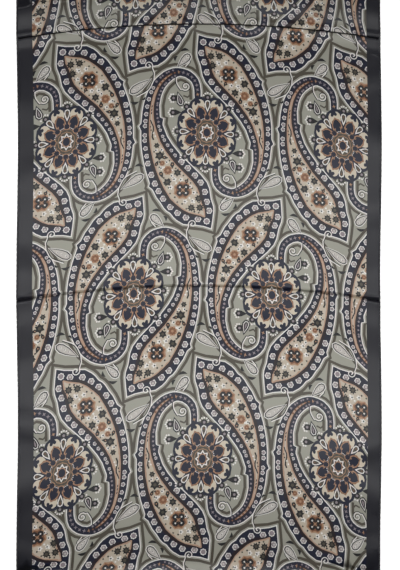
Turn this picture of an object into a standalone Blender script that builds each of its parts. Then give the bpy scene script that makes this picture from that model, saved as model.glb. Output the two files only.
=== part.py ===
"""A printed silk shawl, laid out flat as a single layer of cloth with narrow rolled hems.

Metres, +Z up. The shawl lies on the plane z = 0 with its length along Y and its width along X,
and the middle of its outline is over the origin. The cloth rests flat on that plane, apart from
the fold lines that run across it and the low ripples along its two long edges, where it lifts.
"""

import math
from typing import NamedTuple

import bmesh
import bpy

# ---- Driving dimensions -------------------------------------------------------------------

SHAWL_WIDTH = 0.550  # hem to hem
SHAWL_LENGTH = 1.600  # hem to hem, along the middle
CLOTH_THICKNESS = 0.0010
HEM_WIDTH = 0.0030  # a hand-rolled hem, as wide as it is turned in
HEM_HEIGHT = 0.0024
SEAM_GAP = 0.0003  # between the cloth and each hem, and between the hems at a corner

BOW = 0.0225  # how much further up the middle of the width lies than its two edges
BOW_LEFT_AT_ENDS = 0.45  # share of that bow that is left at the two ends
BOW_EVEN_TO = 0.43  # the bow is the same from the middle of the length to here
SWAY = 0.0012  # how far the whole width wanders sideways along the length
SWAY_WAVELENGTH = 0.42
SWAY_START = 0.13

COLUMNS = 20  # faces across the width
ROW_STEP = 0.026  # between the rows of faces, where the cloth lies flat
ROW_CLEARANCE = 0.009  # a plain row nearer than this to a fold's row is left out
FOLD_ROWS_APART = 0.002  # two rows of neighbouring folds that are nearer than this become one
EDGE_CROWDING = 1.2  # half the arc whose sine spreads the columns, closer at the edges
FOLD_FALL = 1.6  # how steeply a fold's crest falls away: 1 is a straight slope
SHARP_EDGE = 50.0  # degrees

CHARCOAL = (0.055, 0.054, 0.066, 1.0)
SAGE = (0.33, 0.32, 0.26, 1.0)
SILK_ROUGHNESS = 0.42


class Fold(NamedTuple):
    """One low swell along a fold line that runs across the whole width.

    A fold that stands up is one swell with a sharp crest. A fold that is pressed down is a
    swell on each side of the line, steep towards the line and gentle away from it.
    """

    along: float  # where the crest crosses, measured along the length
    height: float  # lift of the crest at the two edges
    middle_share: float  # share of that lift in the middle of the width
    reach_up: float  # how far the swell reaches towards the upper end
    reach_down: float  # how far it reaches towards the lower end


FOLDS = (
    Fold(along=0.398, height=0.0052, middle_share=0.80, reach_up=0.034, reach_down=0.008),
    Fold(along=0.008, height=0.0038, middle_share=0.45, reach_up=0.036, reach_down=0.008),
    Fold(along=-0.009, height=0.0034, middle_share=0.50, reach_up=0.009, reach_down=0.034),
    Fold(along=-0.436, height=0.0046, middle_share=0.75, reach_up=0.010, reach_down=0.032),
)


class Ripple(NamedTuple):
    """One low swell at a long edge that dies out towards the middle of the cloth."""

    along: float  # where it meets the edge, measured along the length
    half_length: float  # from its crest to where it lies flat again, along the edge
    height: float
    reach_in: float  # how far it reaches in from the edge
    lean: float  # how far its inner end lies below (+) or above (-) its outer end


LEFT_RIPPLES = (
    Ripple(along=0.715, half_length=0.055, height=0.0026, reach_in=0.120, lean=0.030),
    Ripple(along=0.585, half_length=0.042, height=0.0019, reach_in=0.080, lean=-0.025),
    Ripple(along=0.470, half_length=0.036, height=0.0022, reach_in=0.100, lean=0.030),
    Ripple(along=0.305, half_length=0.045, height=0.0020, reach_in=0.090, lean=0.028),
    Ripple(along=0.175, half_length=0.048, height=0.0024, reach_in=0.110, lean=-0.030),
    Ripple(along=0.085, half_length=0.034, height=0.0018, reach_in=0.070, lean=0.020),
    Ripple(along=-0.095, half_length=0.040, height=0.0023, reach_in=0.085, lean=-0.022),
    Ripple(along=-0.185, half_length=0.034, height=0.0027, reach_in=0.110, lean=0.038),
    Ripple(along=-0.290, half_length=0.042, height=0.0020, reach_in=0.080, lean=-0.020),
    Ripple(along=-0.385, half_length=0.030, height=0.0019, reach_in=0.075, lean=0.026),
    Ripple(along=-0.555, half_length=0.050, height=0.0024, reach_in=0.110, lean=-0.030),
    Ripple(along=-0.690, half_length=0.055, height=0.0021, reach_in=0.090, lean=0.028),
)
RIGHT_RIPPLES = (
    Ripple(along=0.690, half_length=0.060, height=0.0023, reach_in=0.100, lean=-0.028),
    Ripple(along=0.540, half_length=0.048, height=0.0024, reach_in=0.110, lean=0.030),
    Ripple(along=0.345, half_length=0.034, height=0.0026, reach_in=0.095, lean=0.040),
    Ripple(along=0.240, half_length=0.040, height=0.0019, reach_in=0.070, lean=-0.020),
    Ripple(along=0.140, half_length=0.040, height=0.0022, reach_in=0.090, lean=0.030),
    Ripple(along=-0.085, half_length=0.042, height=0.0018, reach_in=0.075, lean=-0.020),
    Ripple(along=-0.215, half_length=0.034, height=0.0028, reach_in=0.120, lean=0.042),
    Ripple(along=-0.300, half_length=0.036, height=0.0019, reach_in=0.080, lean=-0.025),
    Ripple(along=-0.378, half_length=0.028, height=0.0024, reach_in=0.100, lean=0.034),
    Ripple(along=-0.530, half_length=0.048, height=0.0021, reach_in=0.090, lean=-0.024),
    Ripple(along=-0.655, half_length=0.052, height=0.0025, reach_in=0.110, lean=0.030),
)

HALF_WIDTH = SHAWL_WIDTH / 2
HALF_LENGTH = SHAWL_LENGTH / 2
HEM_MARGIN = HEM_WIDTH + SEAM_GAP
PANEL_HALF_WIDTH = HALF_WIDTH - HEM_MARGIN
PANEL_HALF_LENGTH = HALF_LENGTH - HEM_MARGIN

# A rolled hem's section, as shares of its width and its height: flat underneath, round above.
HEM_SECTION = ((0.15, 0.0), (0.85, 0.0), (1.0, 0.45), (0.78, 0.90), (0.50, 1.0), (0.22, 0.90), (0.0, 0.45))


# ---- Form of the laid cloth ---------------------------------------------------------------


def faded(share: float) -> float:
    """1 at share 0, falling smoothly to 0 at share 1 and beyond."""
    if share >= 1.0:
        return 0.0
    return 0.5 + 0.5 * math.cos(math.pi * max(share, 0.0))


def bow_at(along: float) -> float:
    """How much further up the middle of the width lies than its edges, at this length."""
    past = (abs(along) - BOW_EVEN_TO) / (HALF_LENGTH - BOW_EVEN_TO)
    return BOW * (BOW_LEFT_AT_ENDS + (1.0 - BOW_LEFT_AT_ENDS) * faded(past))


def fold_lift(across: float, along: float) -> float:
    """Lift of the cloth at the fold lines."""
    lift = 0.0
    for fold in FOLDS:
        off = along - fold.along
        reach = fold.reach_up if off > 0.0 else fold.reach_down
        share = 1.0 - abs(off) / reach
        if share > 0.0:
            edge_share = abs(across) / HALF_WIDTH
            height = fold.height * (fold.middle_share + (1.0 - fold.middle_share) * edge_share**2)
            lift = max(lift, height * share**FOLD_FALL)
    return lift


def ripple_lift(across: float, along: float) -> float:
    """Lift of the cloth at the ripples along the long edge that is on this side."""
    ripples = LEFT_RIPPLES if across < 0.0 else RIGHT_RIPPLES
    inwards = HALF_WIDTH - abs(across)
    lift = 0.0
    for ripple in ripples:
        if inwards < ripple.reach_in:
            crest = ripple.along - ripple.lean * inwards / ripple.reach_in
            off = abs(along - crest) / ripple.half_length
            lift += ripple.height * faded(off) * faded(inwards / ripple.reach_in)
    return lift


def laid(across: float, along: float) -> tuple[float, float, float]:
    """Where the underside of the cloth lies, from a place on the cloth as it was cut.

    Args:
        across: distance from the middle of the width, to the right.
        along: distance from the middle of the length, towards the upper end.

    Returns:
        The point, with z = 0 wherever the cloth rests.
    """
    edge_share = across / HALF_WIDTH
    x = across + SWAY * math.sin(2.0 * math.pi * (along - SWAY_START) / SWAY_WAVELENGTH)
    y = along + bow_at(along) * (0.5 - edge_share**2)  # the middle up by half, the edges down
    z = max(fold_lift(across, along), ripple_lift(across, along))
    return x, y, z


def row_places(half_length: float) -> list[float]:
    """Places of the rows of faces along the length: even steps, and closer ones at the folds."""
    at_folds = []
    for fold in FOLDS:
        for share in (-1.0, -0.45, 0.0):
            at_folds.append(fold.along + share * fold.reach_down)
        for share in (0.22, 0.55, 1.0):
            at_folds.append(fold.along + share * fold.reach_up)
    at_folds.sort()
    kept = [at_folds[0]]
    for place in at_folds[1:]:
        if place - kept[-1] > FOLD_ROWS_APART:
            kept.append(place)
    steps = round(2.0 * half_length / ROW_STEP)
    plain = [-half_length + 2.0 * half_length * step / steps for step in range(1, steps)]
    for place in plain:
        if min(abs(place - fold_row) for fold_row in kept) > ROW_CLEARANCE:
            kept.append(place)
    return sorted([-half_length, *kept, half_length])


def column_places(half_width: float) -> list[float]:
    """Places of the columns of faces across the width, closer together near the two edges."""
    places = []
    for column in range(COLUMNS + 1):
        share = 2.0 * column / COLUMNS - 1.0
        places.append(half_width * math.sin(share * EDGE_CROWDING) / math.sin(EDGE_CROWDING))
    return places


# ---- Solids -------------------------------------------------------------------------------


def silk(name: str, colour: tuple[float, float, float, float]) -> bpy.types.Material:
    """Plain silk of one colour."""
    material = bpy.data.materials.new(name)
    material.use_nodes = True
    shader = material.node_tree.nodes["Principled BSDF"]
    shader.inputs["Base Color"].default_value = colour
    shader.inputs["Roughness"].default_value = SILK_ROUGHNESS
    shader.inputs["Metallic"].default_value = 0.0
    material.diffuse_color = colour
    return material


def finished(name: str, body: bmesh.types.BMesh, material: bpy.types.Material) -> bpy.types.Object:
    """Turn a closed bmesh into a named object with outward faces, shaded smooth."""
    bmesh.ops.triangulate(body, faces=body.faces[:])
    bmesh.ops.recalc_face_normals(body, faces=body.faces[:])
    mesh = bpy.data.meshes.new(name)
    body.to_mesh(mesh)
    body.free()
    mesh.shade_smooth()
    mesh.set_sharp_from_angle(angle=math.radians(SHARP_EDGE))
    mesh.materials.append(material)
    piece = bpy.data.objects.new(name, mesh)
    bpy.context.scene.collection.objects.link(piece)
    return piece


def cloth_panel(material: bpy.types.Material) -> bpy.types.Object:
    """The printed cloth: a grid over its whole cut, thickened downwards onto the plane."""
    rows = row_places(PANEL_HALF_LENGTH)
    columns = column_places(PANEL_HALF_WIDTH)
    body = bmesh.new()
    grid = []
    for along in rows:
        row = []
        for across in columns:
            x, y, z = laid(across, along)
            row.append(body.verts.new((x, y, z + CLOTH_THICKNESS)))
        grid.append(row)
    for lower, upper in zip(grid, grid[1:]):
        for column in range(len(columns) - 1):
            body.faces.new((lower[column], lower[column + 1], upper[column + 1], upper[column]))
    top_faces = body.faces[:]
    made = bmesh.ops.extrude_face_region(body, geom=top_faces, use_keep_orig=True)
    under = [part for part in made["geom"] if isinstance(part, bmesh.types.BMVert)]
    bmesh.ops.translate(body, verts=under, vec=(0.0, 0.0, -CLOTH_THICKNESS))
    return finished("cloth_panel", body, material)


def rolled_hem(
    name: str,
    path: list[tuple[float, float]],
    outwards: tuple[float, float],
    material: bpy.types.Material,
) -> bpy.types.Object:
    """A rolled hem beside the panel: one section at each place of the path, joined and capped.

    Args:
        name: the piece's name.
        path: places on the cloth as it was cut, along the hem's inner side.
        outwards: the direction across the hem, away from the cloth.
        material: what it is made of.
    """
    body = bmesh.new()
    rings = []
    for across, along in path:
        x, y, z = laid(across, along)
        ring = []
        for out_share, up_share in HEM_SECTION:
            out = HEM_WIDTH * out_share
            point = (x + outwards[0] * out, y + outwards[1] * out, z + HEM_HEIGHT * up_share)
            ring.append(body.verts.new(point))
        rings.append(ring)
    sides = len(HEM_SECTION)
    for ring, following in zip(rings, rings[1:]):
        for side in range(sides):
            beside = (side + 1) % sides
            body.faces.new((ring[side], ring[beside], following[beside], following[side]))
    body.faces.new(rings[0])
    body.faces.new(rings[-1])
    return finished(name, body, material)


def long_hem(name: str, side: int, material: bpy.types.Material) -> bpy.types.Object:
    """The hem along a long edge, from one end of the shawl to the other."""
    across = side * (PANEL_HALF_WIDTH + SEAM_GAP)
    path = [(across, along) for along in row_places(HALF_LENGTH)]
    return rolled_hem(name, path, (float(side), 0.0), material)


def end_hem(name: str, end: int, material: bpy.types.Material) -> bpy.types.Object:
    """The hem across an end, between the two long hems."""
    along = end * (PANEL_HALF_LENGTH + SEAM_GAP)
    path = [(across, along) for across in column_places(PANEL_HALF_WIDTH)]
    return rolled_hem(name, path, (0.0, float(end)), material)


def main() -> None:
    """Clear the scene and build the cloth and its four hems."""
    for thing in list(bpy.data.objects):
        bpy.data.objects.remove(thing, do_unlink=True)
    cloth_panel(silk("printed silk satin", SAGE))
    hem_silk = silk("charcoal silk satin", CHARCOAL)
    long_hem("hem_left", -1, hem_silk)
    long_hem("hem_right", 1, hem_silk)
    end_hem("hem_top", 1, hem_silk)
    end_hem("hem_bottom", -1, hem_silk)


main()
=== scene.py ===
"""A printed silk shawl, laid flat in one layer with its storage folds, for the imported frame."""

import cmath
import logging
import math
from collections.abc import Callable, Iterable, Sequence
from dataclasses import dataclass, field
from enum import Enum
from typing import NamedTuple

import bpy
import numpy as np
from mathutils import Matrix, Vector
from mathutils.bvhtree import BVHTree
from mathutils.geometry import delaunay_2d_cdt


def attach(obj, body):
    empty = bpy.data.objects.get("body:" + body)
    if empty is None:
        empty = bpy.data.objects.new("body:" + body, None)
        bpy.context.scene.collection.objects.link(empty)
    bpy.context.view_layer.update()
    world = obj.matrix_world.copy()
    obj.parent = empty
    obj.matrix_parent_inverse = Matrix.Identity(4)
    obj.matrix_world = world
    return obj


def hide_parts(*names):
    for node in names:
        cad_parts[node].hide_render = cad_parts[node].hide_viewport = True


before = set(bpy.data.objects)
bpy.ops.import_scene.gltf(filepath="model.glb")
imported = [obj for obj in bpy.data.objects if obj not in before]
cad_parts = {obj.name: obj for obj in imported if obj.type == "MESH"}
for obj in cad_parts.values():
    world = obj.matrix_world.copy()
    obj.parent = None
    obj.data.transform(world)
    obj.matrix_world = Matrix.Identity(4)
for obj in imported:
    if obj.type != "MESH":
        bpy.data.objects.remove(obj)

LOG = logging.getLogger("shawl")
MM = 0.001


# ---- Finishes ----


def linear(code: str) -> tuple[float, float, float, float]:
    """Turns an sRGB hex colour to linear red, green and blue, and an alpha of one."""
    parts = [int(code[n : n + 2], 16) / 255 for n in (1, 3, 5)]
    return (*(p / 12.92 if p <= 0.04045 else ((p + 0.055) / 1.055) ** 2.4 for p in parts), 1.0)


def add(
    tree: bpy.types.NodeTree, kind: str, inputs: dict[str | int, object] | None = None, **settings: object
) -> bpy.types.Node:
    """Adds a node with its settings and links.

    Args:
        tree: the tree that the node is added to.
        kind: Blender's name for the node.
        inputs: for each input a value, a socket to link from, or a node whose first socket is linked.
        settings: the node's own properties.

    Returns:
        The new node.
    """
    node = tree.nodes.new(kind)
    for name, value in settings.items():
        setattr(node, name, value)
    for name, value in (inputs or {}).items():
        source = value.outputs[0] if isinstance(value, bpy.types.Node) else value
        if isinstance(source, bpy.types.NodeSocket):
            tree.links.new(source, node.inputs[name])
        else:
            node.inputs[name].default_value = source
    return node


def started(name: str) -> tuple[bpy.types.Material, bpy.types.NodeTree, bpy.types.NodeSocket]:
    """Starts a material.

    Args:
        name: its name.

    Returns:
        The material, its tree, and the socket that gives a place on the piece.
    """
    made = bpy.data.materials.new(name)
    made.use_nodes = True
    made.node_tree.nodes.clear()
    return made, made.node_tree, add(made.node_tree, "ShaderNodeTexCoord").outputs["Object"]


class Ink(Enum):
    """The colours of the print. SAGE is the ground and BAND the plain border; CHARCOAL also paints shade into
    each tuck's crevice.
    """

    SAGE = "#9C9B8F"
    OLIVE = "#4C463B"
    NAVY = "#0D142C"
    CHARCOAL = "#0F0F13"
    PLUM = "#1E0F15"
    CREAM = "#BFB3A1"
    IVORY = "#CDC3B0"
    PEACH = "#AA8467"
    RUST = "#7E5338"
    ROSE = "#B3937D"
    LILAC = "#8D8286"
    PEARL = "#BDB8B2"
    WHITE = "#E2DFDB"
    BAND = "#1B1B23"


@dataclass(frozen=True)
class SilkSatin:
    """Silk satin, acid dyed: close warp floats give a smooth face and a soft, broad sheen."""

    name: str
    colour: str
    roughness: float = 0.40
    roughness_change: float = 0.05
    float_width: float = 0.9  # mm; real floats are 0.1 mm, drawn coarser so that they show
    float_length: float = 26.0  # mm
    relief: float = 0.10
    sheen: float = 0.06

    def material(self) -> bpy.types.Material:
        """Builds the material, with fine slubs along the weft in bump and in gloss.

        Returns:
            The material.
        """
        made, tree, place = started(self.name)
        stretch = (1 / self.float_length, 1 / self.float_width, 1.0)
        threads = add(tree, "ShaderNodeMapping", {"Vector": place, "Scale": stretch})
        grain = {"Vector": threads, "Scale": 1000.0, "Detail": 2.0, "Roughness": 0.6}
        slubs = add(tree, "ShaderNodeTexNoise", grain)
        levels = {
            "From Min": 0.3,
            "From Max": 0.7,
            "To Min": self.roughness - self.roughness_change,
            "To Max": self.roughness + self.roughness_change,
        }
        gloss = add(tree, "ShaderNodeMapRange", {"Value": slubs, **levels})
        bump = add(tree, "ShaderNodeBump", {"Height": slubs, "Strength": self.relief, "Distance": 0.00012})
        look = {"Base Color": linear(self.colour), "Roughness": gloss, "IOR": 1.54, "Normal": bump}
        nap = {"Sheen Weight": self.sheen, "Sheen Roughness": 0.35}
        shader = add(tree, "ShaderNodeBsdfPrincipled", look | nap)
        add(tree, "ShaderNodeOutputMaterial", {"Surface": shader})
        return made


@dataclass(frozen=True)
class SewingSilk:
    """Sewing silk, twisted and dyed to match: a round thread with a soft gloss."""

    name: str = "sewing_silk"
    colour: str = "#45434A"
    roughness: float = 0.5
    twist: float = 0.5  # mm from turn to turn

    def material(self) -> bpy.types.Material:
        """Builds the material, whose bump is the thread's twist.

        Returns:
            The material.
        """
        made, tree, place = started(self.name)
        wave = {"Vector": place, "Scale": 1000.0 / self.twist / 20.0, "Distortion": 1.0}
        turns = add(tree, "ShaderNodeTexWave", wave, bands_direction="DIAGONAL").outputs["Fac"]
        bump = add(tree, "ShaderNodeBump", {"Height": turns, "Strength": 0.3, "Distance": 0.0001})
        look = {"Base Color": linear(self.colour), "Roughness": self.roughness, "IOR": 1.54, "Normal": bump}
        shader = add(tree, "ShaderNodeBsdfPrincipled", look | {"Sheen Weight": 0.2})
        add(tree, "ShaderNodeOutputMaterial", {"Surface": shader})
        return made


@dataclass(frozen=True)
class MattBoard:
    """White matt acrylic, lit from below as for a cut-out: it stays white under the shawl's edges."""

    name: str = "matt_board"
    colour: str = "#F4F4F3"
    roughness: float = 0.85
    glow: float = 0.85

    def material(self) -> bpy.types.Material:
        """Builds the material, which is plain and pale with a fine bump.

        Returns:
            The material.
        """
        made, tree, place = started(self.name)
        colour = linear(self.colour)
        grain = add(tree, "ShaderNodeTexNoise", {"Vector": place, "Scale": 400.0, "Detail": 2.0})
        bump = add(tree, "ShaderNodeBump", {"Height": grain, "Strength": 0.05, "Distance": 0.0003})
        look = {"Base Color": colour, "Roughness": self.roughness, "Normal": bump}
        glow = {"Emission Color": colour, "Emission Strength": self.glow}
        shader = add(tree, "ShaderNodeBsdfPrincipled", look | glow)
        add(tree, "ShaderNodeOutputMaterial", {"Surface": shader})
        return made


# ---- Drawing the print by formula: a place on it is a complex number, in millimetres ----

Path = list[complex]


class Patch(NamedTuple):
    """One closed patch of dye. A patch of a higher level is printed over the lower ones."""

    ink: Ink
    level: float
    outline: Path


def ring(centre: complex, radius: float, corners: int, turn: float = 0.3) -> Path:
    """Draws a dot or a disc, whose first corner is at the angle turn."""
    return [centre + cmath.rect(radius, turn + math.tau * n / corners) for n in range(corners)]


def star(centre: complex, outer: float, inner: float, points: int, turn: float = 0.0) -> Path:
    """Draws a star from its two radii, or a blossom where they are close."""
    corners = [(inner if n % 2 else outer, turn + math.pi * n / points) for n in range(2 * points)]
    return [centre + cmath.rect(*corner) for corner in corners]


def teardrop(point: complex, head: complex, width: float, corners: int = 12) -> Path:
    """Draws a drop.

    Args:
        point: its pointed end.
        head: the far side of its round end.
        width: its greatest width.
        corners: how many corners.

    Returns:
        The outline.
    """
    axis = head - point
    side = 1j * axis / abs(axis) * width * 0.65
    outline = [point]
    for n in range(1, corners):
        swing = math.tau * n / corners
        bulge = math.sin(swing) * math.sin(swing / 2) ** 1.4
        outline.append(point + axis * (1 - math.cos(swing)) / 2 - side * bulge)
    return outline


def smooth(points: Sequence[complex], step: float) -> Path:
    """Draws a smooth curve through some points.

    Args:
        points: what it goes through.
        step: about how far its own corners are apart.

    Returns:
        The curve's corners, from the first point to the last.
    """
    padded = [2 * points[0] - points[1], *points, 2 * points[-1] - points[-2]]
    curve = []
    for before, start, end, after in zip(padded, padded[1:], padded[2:], padded[3:]):
        parts = max(1, round(abs(end - start) / step))
        for n in range(parts):
            t = n / parts
            bend = (2 * before - 5 * start + 4 * end - after) * t**2
            twist = (3 * start - before - 3 * end + after) * t**3
            curve.append(0.5 * (2 * start + (end - before) * t + bend + twist))
    return [*curve, points[-1]]


def normals(path: Sequence[complex]) -> Path:
    """Gives a unit vector to the left of the way along a path, at each corner."""
    ways = [path[min(n + 1, len(path) - 1)] - path[max(n - 1, 0)] for n in range(len(path))]
    return [1j * way / abs(way) for way in ways]


def stroke(path: Sequence[complex], start: float, end: float) -> Path:
    """Draws a line with some width.

    Args:
        path: its middle.
        start: its width at the beginning.
        end: its width at the end.

    Returns:
        The outline.
    """
    halves = [(start + (end - start) * n / (len(path) - 1)) / 2 for n in range(len(path))]
    sides = [normal * half for normal, half in zip(normals(path), halves)]
    left = [spot + side for spot, side in zip(path, sides)]
    return left + [spot - side for spot, side in zip(path, sides)][::-1]


def curl(centre: complex, radius: float, turns: float, turn: float) -> Path:
    """Draws a spiral that winds in from a radius and an angle, turning left."""
    shares = [n / max(6, round(turns * 10)) for n in range(max(6, round(turns * 10)) + 1)]
    return [centre + cmath.rect(radius * (1 - 0.84 * s), turn + s * turns * math.tau) for s in shares]


def spared(outline: Sequence[complex], slack: float) -> Path:
    """Leaves out the corners that the outline hardly needs.

    Args:
        outline: a path, or a closed outline that is opened at its first corner.
        slack: how far a corner may lie from the line that replaces it.

    Returns:
        The corners that are kept.
    """
    if len(outline) < 3:
        return list(outline)
    first = outline[0]
    axis = outline[-1] - first
    offs = [spot - first for spot in outline]
    gaps = [abs((off * axis.conjugate()).imag) / abs(axis) if abs(axis) > 1e-6 else abs(off) for off in offs]
    worst = max(range(1, len(outline) - 1), key=lambda n: gaps[n])
    if gaps[worst] < slack:
        return [first, outline[-1]]
    return spared(outline[: worst + 1], slack)[:-1] + spared(outline[worst:], slack)


class SpineRow(NamedTuple):
    """A place on the middle line of the large boteh, from its tip to the end of its tail."""

    across: float
    up: float
    field: float  # half the width of the pale field, its dark edge included
    outer: float  # width of the navy band on the outer side of the bend
    inner: float  # width of the navy band on the inner side


SPINE = (
    SpineRow(-1.8, 134.2, 0.0, 12.5, 10.4),
    SpineRow(5.6, 124.1, 10.5, 13.0, 10.8),
    SpineRow(14.9, 115.9, 18.0, 14.5, 11.4),
    SpineRow(21.9, 108.4, 22.1, 13.0, 11.8),
    SpineRow(28.7, 98.6, 25.4, 11.6, 12.0),
    SpineRow(36.5, 89.4, 26.4, 11.2, 11.2),
    SpineRow(47.8, 74.3, 24.3, 11.2, 10.8),
    SpineRow(58.4, 58.8, 21.0, 10.6, 10.6),
    SpineRow(68.9, 38.5, 17.3, 9.3, 9.2),
    SpineRow(77.7, 15.2, 12.4, 8.8, 8.8),
    SpineRow(82.0, -8.9, 8.1, 8.8, 8.6),
    SpineRow(83.0, -26.0, 5.6, 9.4, 7.6),
    SpineRow(81.5, -44.0, 4.4, 9.0, 6.8),
    SpineRow(77.0, -61.0, 3.9, 8.0, 6.4),
    SpineRow(69.5, -75.0, 3.4, 7.4, 6.2),
    SpineRow(59.0, -85.2, 2.8, 7.0, 6.0),
    SpineRow(48.5, -91.0, 1.6, 6.6, 6.2),
    SpineRow(38.5, -92.4, 0.0, 6.5, 6.5),
    SpineRow(26.5, -88.5, 0.0, 6.3, 6.3),
    SpineRow(17.0, -79.0, 0.0, 6.0, 6.0),
    SpineRow(13.6, -66.0, 0.0, 5.6, 5.6),
    SpineRow(13.6, -50.0, 0.0, 5.2, 5.2),
)


class Bloom(Enum):
    """What grows on the pale field of the large boteh."""

    STAR = "dark star flower"
    POSY = "white posy with a dark middle"
    BLOSSOM = "dark blossom"
    LEAF = "dark leaf"
    MARIGOLD = "rust marigold"
    POSIES = "four dark rounds on a rayed square"


class Sprig(NamedTuple):
    """Where a bloom stands on the field, from the middle of the rosette."""

    kind: Bloom
    across: float
    up: float
    radius: float


SPRIGS = (
    Sprig(Bloom.STAR, 8.0, 117.0, 6.6),
    Sprig(Bloom.STAR, 21.0, 117.2, 6.4),
    Sprig(Bloom.STAR, 10.2, 102.6, 6.6),
    Sprig(Bloom.POSY, 19.3, 106.4, 4.6),
    Sprig(Bloom.POSY, 30.2, 107.4, 4.6),
    Sprig(Bloom.POSY, 17.4, 93.4, 4.2),
    Sprig(Bloom.POSY, 23.4, 84.2, 3.8),
    Sprig(Bloom.POSIES, 34.4, 89.4, 13.4),
    Sprig(Bloom.LEAF, 28.4, 74.6, 4.2),
    Sprig(Bloom.POSY, 52.6, 85.0, 4.8),
    Sprig(Bloom.POSY, 37.6, 73.0, 4.4),
    Sprig(Bloom.POSY, 47.6, 72.4, 4.6),
    Sprig(Bloom.BLOSSOM, 58.2, 76.6, 7.0),
    Sprig(Bloom.BLOSSOM, 43.2, 62.2, 6.6),
    Sprig(Bloom.LEAF, 67.2, 65.0, 5.6),
    Sprig(Bloom.MARIGOLD, 57.8, 58.2, 6.4),
    Sprig(Bloom.LEAF, 51.2, 50.6, 5.4),
    Sprig(Bloom.POSY, 51.6, 66.8, 3.8),
    Sprig(Bloom.POSY, 67.6, 54.4, 4.0),
    Sprig(Bloom.POSY, 59.2, 45.4, 3.8),
    Sprig(Bloom.LEAF, 74.4, 46.6, 4.8),
    Sprig(Bloom.LEAF, 62.0, 38.2, 4.8),
    Sprig(Bloom.MARIGOLD, 66.4, 46.8, 3.8),
    Sprig(Bloom.BLOSSOM, 70.4, 35.0, 8.0),
    Sprig(Bloom.POSY, 67.2, 26.0, 3.6),
    Sprig(Bloom.POSY, 75.8, 26.4, 3.4),
    Sprig(Bloom.BLOSSOM, 75.0, 19.0, 5.0),
)


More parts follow.
